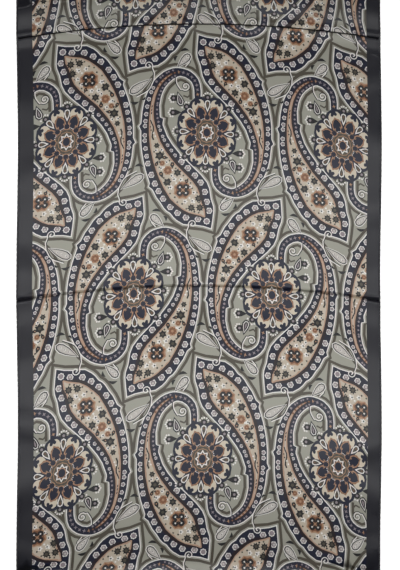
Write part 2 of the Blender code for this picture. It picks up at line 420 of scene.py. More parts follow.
@dataclass
class LargeBoteh:
    """The large bent boteh: pale flowered field, dark edge, navy band with half blossoms."""

    step: float = 3.4
    slack: float = 0.40
    line: float = 1.6  # the white outline
    gap: float = 2.2  # from it to the olive line
    shadow: float = 4.1  # the olive line
    edge: float = 5.0  # the dark plum edge of the field
    rim: float = 2.7  # the rose rim inside it
    wave: float = 1.5
    wave_length: float = 11.0
    scallop: float = 2.4
    scallop_length: float = 22.0
    scallop_start: float = 18.0
    scallop_end: float = 120.0
    thorn: float = 4.6
    thorn_length: float = 10.0
    outer_thorns: tuple[float, ...] = (93.0, 176.0)
    inner_thorns: tuple[float, ...] = (181.0,)
    blossom: float = 5.3
    stripe_end: float = 268.0
    dot_gap: float = 8.4
    middle: Path = field(init=False)
    rows: list[SpineRow] = field(init=False)
    facing: Path = field(init=False)
    distance: list[float] = field(init=False)

    def __post_init__(self) -> None:
        """Works out the middle line, its widths, and how far from the tip its corners lie."""
        self.middle = smooth([complex(row.across, row.up) for row in SPINE], self.step)
        self.facing = normals(self.middle)
        self.rows = []
        for start, end in zip(SPINE, SPINE[1:]):
            gap = abs(complex(end.across - start.across, end.up - start.up))
            parts = max(1, round(gap / self.step))
            for n in range(parts):
                self.rows.append(SpineRow(*(a + (b - a) * n / parts for a, b in zip(start, end))))
        self.rows.append(SPINE[-1])
        self.distance = [0.0]
        for before, after in zip(self.middle, self.middle[1:]):
            self.distance.append(self.distance[-1] + abs(after - before))

    def nearest(self, along: float) -> int:
        """Finds the corner of the middle line at this distance from the tip."""
        return min(range(len(self.distance)), key=lambda n: abs(self.distance[n] - along))

    def at(self, along: float, across: float) -> complex:
        """Finds a place from its distance from the tip, and from the middle line outwards."""
        n = self.nearest(along)
        return self.middle[n] + self.facing[n] / 1j * (along - self.distance[n]) + self.facing[n] * across

    def side(self, outwards: int, grow: Callable[[float, SpineRow], float]) -> Path:
        """Draws one side of an outline round the boteh, from the tip to the end of the tail.

        Args:
            outwards: 1 for the outer side of the bend, -1 for the inner side.
            grow: how far outside the field's edge the outline runs, from distance and row.

        Returns:
            The path.
        """
        middle = zip(self.middle, self.facing, self.rows)
        edge = [spot + outwards * normal * row.field for spot, normal, row in middle]
        places = zip(edge, normals(edge), self.rows, self.distance)
        return [spot + outwards * normal * grow(along, row) for spot, normal, row, along in places]

    def thorny(self, along: float, thorns: Sequence[float]) -> float:
        """Gives how far the thorns stand out at one distance from the tip."""
        behind = [(thorn - along) / self.thorn_length for thorn in thorns]
        return self.thorn * sum(1.0 - share for share in behind if 0.0 <= share < 1.0)

    def scalloped(self, along: float, row: SpineRow) -> float:
        """Gives the band's width on the outer side, without its thorns."""
        lobe = abs(math.sin(math.pi * (along - self.scallop_start) / self.scallop_length)) - 0.6
        return row.outer + self.scallop * max(0.0, 1.0 - along / self.scallop_end) * lobe

    def outline(self, extra: float) -> Path:
        """Draws the boteh's outline with its scallops and thorns.

        Args:
            extra: how far it is moved out.

        Returns:
            The outline.
        """
        first = self.side(
            1, lambda a, row: self.scalloped(a, row) + self.thorny(a, self.outer_thorns) + extra
        )
        second = self.side(-1, lambda a, row: row.inner + self.thorny(a, self.inner_thorns) + extra)
        tip = self.middle[0]
        left, right = first[0] - tip, second[0] - tip
        slant = (left * right.conjugate()).real / abs(left) / abs(right)
        corner = tip + (left + right) / (1 + slant)
        slack = self.slack if extra < self.gap else 1.5 * self.slack
        return [corner, *spared(first, slack), *spared(second, slack)[::-1]]

    def inside(self, shrink: Callable[[float, float], float]) -> Path:
        """Draws an outline inside the field.

        Args:
            shrink: how far in it runs, from the distance and the half width.

        Returns:
            The outline.
        """
        outer = []
        inner = []
        for spot, normal, row, along in zip(self.middle, self.facing, self.rows, self.distance):
            half = row.field - shrink(along, row.field)
            if half > 0.25:
                outer.append(spot + normal * half)
                inner.append(spot - normal * half)
        return [*spared(outer, self.slack), *spared(inner, self.slack)[::-1]]

    def field_edge(self, along: float, half: float) -> float:
        """Tells how far the wavy cream field stays inside the field's outer edge."""
        wave = self.wave * abs(math.sin(math.pi * along / self.wave_length))
        return self.edge + self.rim - wave if half > 8.0 else 0.62 * half + 1.2

    def patches(self) -> Iterable[Patch]:
        """Draws one large boteh.

        Returns:
            Its patches.
        """
        yield Patch(Ink.OLIVE, 1.1, self.outline(self.line / 2 + self.gap + self.shadow))
        yield Patch(Ink.SAGE, 1.2, self.outline(self.line / 2 + self.gap))
        yield Patch(Ink.WHITE, 2.0, self.outline(self.line / 2))
        yield Patch(Ink.NAVY, 3.0, self.outline(-self.line / 2))
        yield from self.band_blossoms()
        yield Patch(Ink.PLUM, 6.0, self.inside(lambda along, half: 0.0))
        yield Patch(Ink.ROSE, 6.1, self.inside(lambda along, half: min(self.edge, 0.26 * half + 1.0)))
        yield Patch(Ink.CREAM, 6.2, self.inside(self.field_edge))
        yield from self.sprigs()
        yield from self.dots()
        yield from self.vine()
        for n in range(8):
            along = self.stripe_end + 4.0 + 7.2 * n
            ink = Ink.PEACH if n in (0, 7) else Ink.LILAC
            yield Patch(ink, 5.0, star(self.at(along, 0.0), 3.2, 1.2, 4, along))

    def band_blossoms(self) -> Iterable[Patch]:
        """Draws the half blossoms that stand on the dark edge, smaller towards the tail.

        Returns:
            Their patches.
        """
        corner = self.middle[0] + complex(-1.2, 3.8)
        yield Patch(Ink.WHITE, 5.0, star(corner, self.blossom, self.blossom * 0.84, 8))
        yield Patch(Ink.LILAC, 5.1, ring(corner, self.blossom * 0.70, 8))
        for outwards, due, places, shares in (
            (1, 11.5, (112.0, 132.0, 215.0, 250.0), (1.0, 0.74, 0.66, 0.34)),
            (-1, 11.0, (96.0, 112.0, 160.0, 185.0), (1.0, 0.60, 0.52, 0.36)),
        ):
            edge = self.side(outwards, lambda along, row: 0.0)
            facing = normals(edge)
            travelled = 0.0
            for n in range(1, len(edge)):
                along = self.distance[n]
                travelled += abs(edge[n] - edge[n - 1])
                if travelled < due or along > self.stripe_end:
                    continue
                radius = self.blossom * float(np.interp(along, places, shares))
                due += 0.8 + 2.66 * radius
                out = outwards * facing[n]
                centre = edge[n] + out * (radius * 0.55 + 0.5)
                if radius < 2.4:
                    yield Patch(Ink.LILAC, 5.0, ring(centre + 1.4 * out, radius, 4))
                    continue
                lobes = 6 if radius > 4.0 else 5
                yield Patch(Ink.WHITE, 5.0, star(centre, radius, radius * 0.84, lobes))
                yield Patch(Ink.LILAC, 5.1, ring(centre, radius * 0.72, lobes))
                if radius > 4.0:
                    yield Patch(Ink.PEARL, 5.2, ring(centre + out * radius * 0.1, radius * 0.38, 4))

    def sprigs(self) -> Iterable[Patch]:
        """Draws the blooms on the pale field.

        Returns:
            Their patches.
        """
        for kind, across, up, radius in SPRIGS:
            centre = complex(across, up)
            if kind in (Bloom.STAR, Bloom.BLOSSOM):
                points, eye = (8, 0.42) if kind is Bloom.STAR else (6, 0.36)
                yield Patch(Ink.CHARCOAL, 7.0, star(centre, radius, radius * 0.62, points, up))
                yield Patch(Ink.OLIVE, 7.1, ring(centre, radius * eye, 5))
            elif kind is Bloom.POSY:
                yield Patch(Ink.WHITE, 7.0, star(centre, radius, radius * 0.5, 5, up))
                yield Patch(Ink.CHARCOAL, 7.1, ring(centre + radius * 0.15, 1.5, 4))
            elif kind is Bloom.LEAF:
                lean = cmath.rect(radius, 0.9 * up)
                yield Patch(Ink.CHARCOAL, 7.0, teardrop(centre + lean, centre - lean, radius * 1.3, 7))
                yield Patch(Ink.PEACH, 7.1, ring(centre - lean * 0.3, radius * 0.24, 4))
            elif kind is Bloom.MARIGOLD:
                yield Patch(Ink.PEACH, 6.9, star(centre, radius * 1.2, radius, 8, 0.4))
                yield Patch(Ink.RUST, 7.0, star(centre, radius, radius * 0.74, 8))
                yield Patch(Ink.PEACH, 7.1, ring(centre, radius * 0.36, 5))
            else:
                yield from self.posies(centre, radius)

    def dots(self) -> Iterable[Patch]:
        """Draws the dots between the blooms.

        Returns:
            Their patches.
        """
        for outwards in (1, -1):
            for n in range(15):
                along = 12.0 + self.dot_gap * n + 3.0 * outwards
                half = self.rows[self.nearest(along)].field - self.edge - self.rim - 1.4 - 2.6 * (n % 2)
                if half > 2.5:
                    ink = Ink.CHARCOAL if n % 2 else Ink.OLIVE
                    yield Patch(ink, 6.95, ring(self.at(along, outwards * half), 1.7, 4))
        for n in range(10):
            spot = self.at(21.0 + 10.4 * n, 6.4 * math.cos(2.2 * n))
            yield Patch(Ink.WHITE if n % 3 else Ink.CHARCOAL, 6.94, ring(spot, 1.9, 4, 0.5 * n))

    def posies(self, centre: complex, radius: float) -> Iterable[Patch]:
        """Draws four dark rounds on a rayed square.

        Args:
            centre: the middle of the square.
            radius: half its width.

        Returns:
            Their patches.
        """
        yield Patch(Ink.PEACH, 6.95, star(centre, radius * 1.12, radius * 0.96, 8, 0.39))
        yield Patch(Ink.RUST, 6.96, star(centre, radius * 0.98, radius * 0.74, 8, 0.39))
        for quarter in range(4):
            way = cmath.rect(1.0, math.pi / 4 + math.pi / 2 * quarter)
            spot = centre + way * radius * 0.49
            yield Patch(Ink.CHARCOAL, 7.0, ring(spot, radius * 0.38, 7, 0.2))
            yield Patch(Ink.WHITE, 7.1, ring(spot, radius * 0.12, 4))
            yield Patch(Ink.PEACH, 7.2, stroke([centre, centre + way * radius * 0.34], 1.4, 0.8))

    def vine(self) -> Iterable[Patch]:
        """Draws the winding vine below the blooms and the dots where the field is narrow.

        Returns:
            Their patches.
        """
        path = [self.at(150.0 + 5.2 * n, 1.9 * math.sin(1.15 * n + 0.5)) for n in range(7)]
        yield Patch(Ink.CHARCOAL, 7.0, stroke(path, 2.4, 1.6))
        for n in range(1, 6):
            spot = self.at(150.0 + 5.2 * n, -2.8 * math.sin(1.15 * n + 0.5))
            yield Patch(Ink.WHITE if n < 3 else Ink.CHARCOAL, 7.1, ring(spot, 1.7 - 0.1 * n, 4))
        for n in range(3):
            dash = [self.at(190.0 + 5.0 * n, 0.3), self.at(193.6 + 5.0 * n, -0.3)]
            yield Patch(Ink.PLUM, 7.0, stroke(dash, 1.6, 1.0))
        for n in range(6):
            yield Patch(Ink.RUST, 7.0, ring(self.at(234.0 + 6.4 * n, 0.0), 2.1 - 0.1 * n, 4))


@dataclass(frozen=True)
class Rosette:
    """The eightfold rosette, a little taller than wide, on its lobed navy ground."""

    reach: float = 41.4  # from the middle to the ends of the drops, sideways
    taller: float = 1.21
    lean: float = -0.05  # eighths of a turn
    level: float = 8.0

    def spot(self, radius: float, turn: float) -> complex:
        """Finds a place from its radius, as a share of the reach, and its eighths of a turn."""
        flat = cmath.rect(radius * self.reach, (turn + self.lean) * math.tau / 8)
        return complex(flat.real, flat.imag * self.taller)

    def figure(self, ink: Ink, level: float, turn: float, half: Sequence[tuple[float, float]]) -> Patch:
        """Draws a patch that is alike on both sides of a direction, from the corners on one side."""
        whole = [*half, *((radius, -aside) for radius, aside in reversed(half) if aside)]
        return Patch(ink, self.level + level, [self.spot(r, turn + a) for r, a in whole])

    def patches(self) -> Iterable[Patch]:
        """Draws one rosette.

        Returns:
            Its patches.
        """
        ground = [self.spot(1.02 + 0.13 * abs(math.sin(math.pi * n / 4)), n / 4) for n in range(32)]
        yield Patch(Ink.NAVY, 4.0, ground)
        for n in range(8):
            yield from self.petal(n + 0.5)
            yield from self.drop(float(n))
        yield from self.heart()

    def petal(self, turn: float) -> Iterable[Patch]:
        """Draws a navy heart in its peach and rust outline, and the two-horned flame round it.

        Args:
            turn: its direction, in eighths of a turn.

        Returns:
            Its patches.
        """
        flame = [(0.965, 0.00), (0.925, 0.05), (0.925, 0.13), (0.97, 0.165), (1.05, 0.10), (1.04, 0.19)]
        flame += [(0.98, 0.29), (0.88, 0.345), (0.76, 0.33), (0.60, 0.00)]
        yield self.figure(Ink.IVORY, 0.1, turn, flame)
        band = [(0.892, 0), (0.83, 0.11), (0.81, 0.225), (0.74, 0.31), (0.66, 0.38), (0.56, 0.43), (0.5, 0.2)]
        yield self.figure(Ink.PEACH, 0.2, turn, band)
        line = [(0.874, 0), (0.812, 0.12), (0.79, 0.23), (0.72, 0.315), (0.62, 0.395), (0.54, 0.30)]
        yield self.figure(Ink.RUST, 0.3, turn, line)
        line = [(0.856, 0), (0.79, 0.13), (0.765, 0.225), (0.70, 0.30), (0.60, 0.37), (0.50, 0.28)]
        yield self.figure(Ink.PEACH, 0.35, turn, line)
        heart = [(0.835, 0), (0.765, 0.155), (0.68, 0.28), (0.6, 0.325), (0.52, 0.24), (0.42, 0.22), (0.4, 0)]
        yield self.figure(Ink.NAVY, 0.4, turn, heart)
        for way in (-1, 1):
            hook = [(0.60, 0.36), (0.55, 0.335), (0.525, 0.27), (0.55, 0.215), (0.585, 0.235)]
            path = [self.spot(r, turn + way * a) for r, a in hook]
            yield Patch(Ink.PEACH, self.level + 0.5, stroke(path, 1.5, 0.9))

    def drop(self, turn: float) -> Iterable[Patch]:
        """Draws a drop between two petals, and the half disc with its fan of dots outside it.

        Args:
            turn: its direction, in eighths of a turn.

        Returns:
            Its patches.
        """
        disc = self.spot(1.075, turn)
        yield Patch(Ink.CHARCOAL, self.level + 0.05, ring(disc, 4.8, 8))
        yield Patch(Ink.LILAC, self.level + 0.06, ring(disc, 2.3, 5))
        for n in range(-2, 3):
            dot = disc + disc / abs(disc) * cmath.rect(6.9, 0.56 * n)
            yield Patch(Ink.WHITE, self.level + 0.07, ring(dot, 1.7, 4))
        for ink, level, near, far, width, corners in (
            (Ink.WHITE, 0.6, 0.62, 1.0, 9.6, 10),
            (Ink.OLIVE, 0.7, 0.70, 0.965, 6.4, 8),
            (Ink.RUST, 0.8, 0.85, 0.93, 2.0, 4),
        ):
            outline = teardrop(self.spot(near, turn), self.spot(far, turn), width, corners)
            yield Patch(ink, self.level + level, outline)
        yield Patch(Ink.NAVY, self.level + 0.53, ring(self.spot(0.47, turn), 4.4, 7))

    def heart(self) -> Iterable[Patch]:
        """Draws the scalloped ring, the star and the oval in the middle.

        Returns:
            Their patches.
        """
        for ink, level, outer, inner, points in (
            (Ink.NAVY, 0.45, 0.52, 0.48, 8),
            (Ink.PEACH, 0.55, 0.415, 0.385, 24),
            (Ink.OLIVE, 0.56, 0.385, 0.385, 12),
            (Ink.PEACH, 0.575, 0.315, 0.30, 12),
            (Ink.OLIVE, 0.576, 0.295, 0.28, 12),
            (Ink.WHITE, 0.58, 0.275, 0.185, 8),
            (Ink.PLUM, 0.59, 0.205, 0.145, 8),
            (Ink.PEACH, 0.60, 0.158, 0.158, 7),
            (Ink.NAVY, 0.61, 0.128, 0.128, 7),
        ):
            corners = [self.spot(inner if n % 2 else outer, n * 4.0 / points) for n in range(2 * points)]
            yield Patch(ink, self.level + level, corners)
        for n in range(8):
            yield Patch(Ink.PEACH, self.level + 0.562, ring(self.spot(0.45, float(n)), 4.7, 8))
            yield Patch(Ink.NAVY, self.level + 0.566, ring(self.spot(0.463, float(n)), 4.0, 7))
            for aside in (0.34, 0.5, 0.66):
                yield Patch(Ink.WHITE, self.level + 0.57, ring(self.spot(0.435, n + aside), 0.95, 4))


@dataclass(frozen=True)
class Fillers:
    """What fills the ground: small botehs, curls, crescent leaves and fans of white dots."""

    white: float = 1.5  # width of the white lines
    dark: float = 1.5  # width of the dark line beside each

    def patches(self) -> Iterable[Patch]:
        """Draws the fillers on one side of the rosette.

        Returns:
            Their patches.
        """
        yield from self.stemmed_boteh()
        yield from self.leaf_boteh()
        yield from self.bay()

    def lined(self, path: Sequence[complex], level: float, side: int = 1) -> Iterable[Patch]:
        """Draws a white line with a dark line beside it.

        Args:
            path: the white line's middle.
            level: the level of the two.
            side: 1 where the dark line is on the left, -1 where it is on the right.

        Returns:
            The two patches.
        """
        apart = side * (self.white + self.dark) / 2
        beside = [spot + normal * apart for spot, normal in zip(path, normals(path))]
        yield Patch(Ink.CHARCOAL, level, stroke(beside, self.dark, self.dark * 0.6))
        yield Patch(Ink.WHITE, level + 0.01, stroke(path, self.white, self.white))

    def little_boteh(self, point: complex, head: complex, width: float) -> Iterable[Patch]:
        """Draws a small boteh with a white and a dark outline and three florets.

        Args:
            point: its pointed end.
            head: the far side of its round end.
            width: its greatest width.

        Returns:
            Its patches.
        """
        axis = head - point
        unit = axis / abs(axis)
        for ink, level, inset in ((Ink.WHITE, 9.0, 0.0), (Ink.CHARCOAL, 9.1, 1.3), (Ink.PEARL, 9.2, 2.9)):
            drop = teardrop(point + unit * inset * 1.4, head - unit * inset, width - 2 * inset, 12)
            yield Patch(ink, level, drop)
        for n, share in enumerate((0.42, 0.60, 0.78)):
            spot = point + axis * share
            yield Patch(Ink.WHITE, 9.3, star(spot, 2.2 + 0.3 * n, 1.2, 4, share))
            yield Patch(Ink.OLIVE, 9.4, ring(spot + 0.4 * unit, 1.0, 4))

    def crescent(self, start: complex, end: complex, belly: float) -> Patch:
        """Draws a small dark crescent leaf.

        Args:
            start: one tip.
            end: the other tip.
            belly: how far its back stands out to the left of the way between them.

        Returns:
            The patch.
        """
        axis = end - start
        out = 1j * axis / abs(axis) * belly
        back = [start + axis * n / 5 + out * math.sin(math.pi * n / 5) for n in range(6)]
        front = [start + axis * n / 5 + out * 0.12 * math.sin(math.pi * n / 5) for n in (4, 3, 2, 1)]
        return Patch(Ink.CHARCOAL, 8.9, [*back, *front])

    def stemmed_boteh(self) -> Iterable[Patch]:
        """Draws a small boteh whose stem sweeps up and curls on the next large boteh's head.

        Returns:
            Its patches.
        """
        yield from self.little_boteh(128 + 84.5j, 93 + 63j, 16.5)
        sweep = smooth([104 + 57j, 122 + 66.5j, 130.4 + 82j], 6.0)
        spiral = curl(122.8 + 104j, 6.6, 1.35, -0.55)
        yield from self.lined([*sweep, *smooth([131.5 + 92j, spiral[0]], 6.0), *spiral[1:]], 9.5)
        yield self.crescent(94 + 51j, 108 + 50j, -5.2)
        yield self.crescent(110.5 + 52.5j, 117.5 + 57j, -3.4)

    def leaf_boteh(self) -> Iterable[Patch]:
        """Draws a small boteh that grows from the back of the large one's tail.

        Returns:
            Its patches.
        """
        yield from self.little_boteh(-44.5 + 98.5j, -22.5 + 120.5j, 15.5)
        yield self.crescent(-38 + 123.5j, -24 + 125j, 5.0)
        yield self.crescent(-46 + 108.5j, -41.5 + 117.5j, 4.6)
        yield from self.lined([-23.5 + 116j, -25 + 107j, -31 + 100.5j], 8.95)

    def bay(self) -> Iterable[Patch]:
        """Draws what stands in the pale bay inside the large boteh's hook.

        Returns:
            Its patches.
        """
        shade = smooth([-21 + 68j, -23.5 + 60j, -28.5 + 54j, -35 + 56.5j], 5.0)
        yield Patch(Ink.OLIVE, 1.15, stroke(shade, 3.4, 2.4))
        stem = smooth([-45 + 84.5j, -44.2 + 75j, -38.5 + 65.5j], 5.0)
        yield from self.lined([*stem, *curl(-31.2 + 70.6j, 6.8, 1.4, -2.45)], 8.9, -1)
        for base in (-49.6 + 53j, -50.8 + 31j):
            yield Patch(Ink.CHARCOAL, 8.8, teardrop(base + 13.0, base - 5.2, 11.0, 8))
            yield Patch(Ink.LILAC, 8.81, ring(base, 2.3, 5))
            for n in range(-3, 4):
                dot = base + cmath.rect(6.0 if n % 2 else 6.8, math.pi + 0.50 * n)
                yield Patch(Ink.WHITE, 8.85, ring(dot, 1.75, 4))
        point = -43 + 60.5j
        head = -38 + 42j
        unit = (head - point) / abs(head - point)
        for ink, level, inset in (
            (Ink.CHARCOAL, 8.89, -2.0),
            (Ink.WHITE, 8.9, 0.0),
            (Ink.CHARCOAL, 8.91, 1.3),
            (Ink.LILAC, 8.92, 3.4),
        ):
            leaf = teardrop(point + unit * inset * 1.6, head - unit * inset, 9.6 - 2.0 * inset, 9)
            yield Patch(ink, level, leaf)


class PrintRow(NamedTuple):
    """Where a row of rosettes lies on the cut cloth, in millimetres."""

    number: int
    along: float  # in the middle of the width
    across: float  # how far the row's middle is to the right of the cloth's
    tilt: float  # how far the right end is higher than the middle
    bow: float  # how far both ends are lower than the middle


PRINT_ROWS = (
    PrintRow(-5, -1256.0, 5.0, 2.0, 4.0),
    PrintRow(-4, -1008.0, 5.0, 3.0, 4.0),
    PrintRow(-3, -760.0, 5.5, 2.0, 6.0),
    PrintRow(-2, -512.0, 5.0, 4.0, 4.0),
    PrintRow(-1, -261.6, 4.5, 6.9, 6.0),
    PrintRow(0, -8.8, 7.6, -1.4, 5.0),
    PrintRow(1, 231.7, 10.6, -2.3, 7.1),
    PrintRow(2, 474.5, 9.0, -2.3, 9.0),
    PrintRow(3, 709.0, 8.0, 2.0, 6.0),
    PrintRow(4, 953.0, 6.0, 3.0, 6.0),
    PrintRow(5, 1197.0, 6.0, 3.0, 6.0),
)


@dataclass(frozen=True)
class PaisleyPrint:
    """The paisley print: botehs and rosettes in rows, each row mirrored and half a repeat on."""

    repeat: float = 208.8
    row_pitch: float = 246.3
    half_width: float = 275.0
    squeeze: float = 7.8e-5  # the repeat is this much closer for each mm to the right
    field_left: float = -250.8
    field_right: float = 253.9
    view_low: float = -430.0  # past these two the print is drawn with fewer corners
    view_high: float = 470.0
    coarse: float = 3.0  # how far such a corner may lie from the line that replaces it
    smallest: float = 66.0  # and patches of fewer square millimetres are left out
    # Where the upper tuck shuts the cloth in, and how much further on the print is past it.
    slip_from: float = 395.0
    slip_to: float = 419.0
    slip: float = 19.4

    def size(self, outline: Sequence[complex]) -> float:
        """Gives the area inside an outline."""
        return abs(sum((a.conjugate() * b).imag for a, b in zip(outline, [*outline[1:], outline[0]]))) / 2

    def unit(self) -> list[Patch]:
        """Draws what stands round one rosette.

        Returns:
            The patches of one rosette, its two large botehs and its fillers.
        """
        half = [*LargeBoteh().patches(), *Fillers().patches()]
        turned = [Patch(ink, level, [-spot for spot in line]) for ink, level, line in half]
        return [*half, *turned, *Rosette().patches()]

    def on_cloth(self, places: np.ndarray) -> np.ndarray:
        """Lays the print on the cut cloth, as printing and laying have drawn it.

        Args:
            places: places in the print, as complex numbers.

        Returns:
            The same places on the cloth, as complex numbers.
        """
        table = np.array(PRINT_ROWS)[:, 1:]
        row = places.imag / self.row_pitch - PRINT_ROWS[0].number
        start = np.clip(np.floor(row).astype(int), 1, len(PRINT_ROWS) - 3)
        t = (row - start)[:, None]
        before, here, there, after = (table[start + n] for n in (-1, 0, 1, 2))
        bend = (2 * before - 5 * here + 4 * there - after) * t**2
        twist = (3 * here - before - 3 * there + after) * t**3
        along, shift, tilt, bow = (0.5 * (2 * here + (there - before) * t + bend + twist)).T
        across = places.real + shift - self.squeeze * places.real**2
        share = across / self.half_width
        along = along + tilt * share - bow * share**2
        width = self.slip_to - self.slip_from
        squeezed = self.slip_from + (along - self.slip_from) * width / (width - self.slip)
        shut_in = np.where(along > self.slip_from, squeezed, along)
        return across + 1j * np.where(along + self.slip > self.slip_to, along + self.slip, shut_in)

    def patches(self, half_length: float) -> list[tuple[Ink, np.ndarray]]:
        """Prints the whole field.

        Args:
            half_length: half the length of the cut cloth.

        Returns:
            Ink and outline of each patch on the cloth, lowest first.
        """
        unit = self.unit()
        plain = [spared([*patch.outline, patch.outline[0]], self.coarse)[:-1] for patch in unit]
        fine = [patch.outline for patch in unit]
        places = np.array([spot for outline in (*fine, *plain) for spot in outline])
        ends = np.cumsum([len(outline) for outline in (*fine, *plain)])[:-1]
        laid = []
        for row in PRINT_ROWS[1:-1]:
            mirrored = row.number % 2 == 0
            printed = -places.conjugate() if mirrored else places
            for column in range(-2, 3):
                x = self.repeat * (column + (0.5 if mirrored else 0.0))
                outlines = np.split(self.on_cloth(complex(x, row.number * self.row_pitch) + printed), ends)
                for patch, outline, spare in zip(unit, outlines, outlines[len(unit) :]):
                    left, right = outline.real.min(), outline.real.max()
                    low, high = outline.imag.min(), outline.imag.max()
                    if right < self.field_left or left > self.field_right or max(-high, low) > half_length:
                        continue
                    if high > self.view_low and low < self.view_high:
                        laid.append((patch.level, patch.ink, outline))
                    elif self.size(patch.outline) > self.smallest:
                        laid.append((patch.level, patch.ink, spare))
        laid.sort(key=lambda entry: entry[0])
        return [(ink, outline) for _, ink, outline in laid]


# ---- The cloth's form ----


class Fold(NamedTuple):
    """One lip of the storage fold across the middle, whose two lips stand up beside a slot."""

    way: int  # 1 for the upper lip, -1 for the lower
    height: float
    middle_share: float  # height in the middle of the width, as a share of that at the edges
    slope: float


FOLDS = (Fold(1, 0.0084, 0.84, 0.040), Fold(-1, 0.0078, 0.86, 0.038))
FOLD_ROWS = (0.0, 1.0, 2.0, 3.0, 4.2)  # mm from the fold line, where the cloth bends sharply
SLOPE_ROWS = (8.5, 14.0, 21.0, 30.0, 39.0)  # mm, on the slopes beyond


class Tuck(NamedTuple):
    """A storage fold that has fallen over, so that the cloth lies threefold along it."""

    along: float
    middle_share: float  # height in the middle of the width, as a share of that at the edges
    facing: int  # -1 where its rolled edge faces the lower end, 1 where it faces the upper


TUCKS = (Tuck(0.398, 0.80, -1), Tuck(-0.436, 0.75, 1))

# Section through a tuck at the edge of the cloth, in mm: off the fold line, and above the table.
TUCK_SECTION = (
    *(-28 + 0j, -22 + 0.2j, -16 + 1.1j, -11 + 2.8j, -7.5 + 4.2j, -5.2 + 4.7j, -4.1 + 4.4j),  # the lip below
    *(-3.9 + 3.7j, -4.6 + 2.6j, -5.4 + 1.5j, -5.2 + 0.6j, -3.6 + 0.1j, 0j, 2.5 + 0j),  # down beside it and on
    *(4 + 0.05j, 5.3 + 0.38j, 5.7 + 0.9j, 5.2 + 1.5j, 3.8 + 1.75j, 1.8 + 1.9j, 0.2 + 2.3j),  # turned back
    *(-1 + 3.1j, -1.5 + 4.3j, -1 + 5.7j, 0.5 + 6.9j, 3.2 + 7.7j, 6.5 + 7.9j),  # round the roll
    *(11 + 7.1j, 18 + 5.2j, 26 + 3j, 34 + 1.2j, 42 + 0.25j, 48 + 0j),  # down the upper layer
)


class Ripple(NamedTuple):
    """One low swell at a long edge that dies out towards the middle of the cloth."""

    along: float
    half_length: float
    height: float
    reach_in: float
    lean: float


LEFT_RIPPLES = (
    Ripple(0.715, 0.055, 0.0026, 0.120, 0.030),
    Ripple(0.585, 0.042, 0.0019, 0.080, -0.025),
    Ripple(0.470, 0.036, 0.0022, 0.100, 0.030),
    Ripple(0.305, 0.045, 0.0020, 0.090, 0.028),
    Ripple(0.175, 0.048, 0.0024, 0.110, -0.030),
    Ripple(0.085, 0.034, 0.0018, 0.070, 0.020),
    Ripple(-0.095, 0.040, 0.0023, 0.085, -0.022),
    Ripple(-0.185, 0.034, 0.0027, 0.110, 0.038),
    Ripple(-0.290, 0.042, 0.0020, 0.080, -0.020),
    Ripple(-0.385, 0.030, 0.0019, 0.075, 0.026),
    Ripple(-0.555, 0.050, 0.0024, 0.110, -0.030),
    Ripple(-0.690, 0.055, 0.0021, 0.090, 0.028),
)
RIGHT_RIPPLES = (
    Ripple(0.690, 0.060, 0.0023, 0.100, -0.028),
    Ripple(0.540, 0.048, 0.0024, 0.110, 0.030),
    Ripple(0.345, 0.034, 0.0026, 0.095, 0.040),
    Ripple(0.240, 0.040, 0.0019, 0.070, -0.020),
    Ripple(0.140, 0.040, 0.0022, 0.090, 0.030),
    Ripple(-0.085, 0.042, 0.0018, 0.075, -0.020),
    Ripple(-0.215, 0.034, 0.0028, 0.120, 0.042),
    Ripple(-0.300, 0.036, 0.0019, 0.080, -0.025),
    Ripple(-0.378, 0.028, 0.0024, 0.100, 0.034),
    Ripple(-0.530, 0.048, 0.0021, 0.090, -0.024),
    Ripple(-0.655, 0.052, 0.0025, 0.110, 0.030),
)


def faded(share: np.ndarray) -> np.ndarray:
    """Falls smoothly from one, where share is nought, to nought, where it is one or more."""
    return 0.5 + 0.5 * np.cos(np.pi * np.clip(share, 0.0, 1.0))


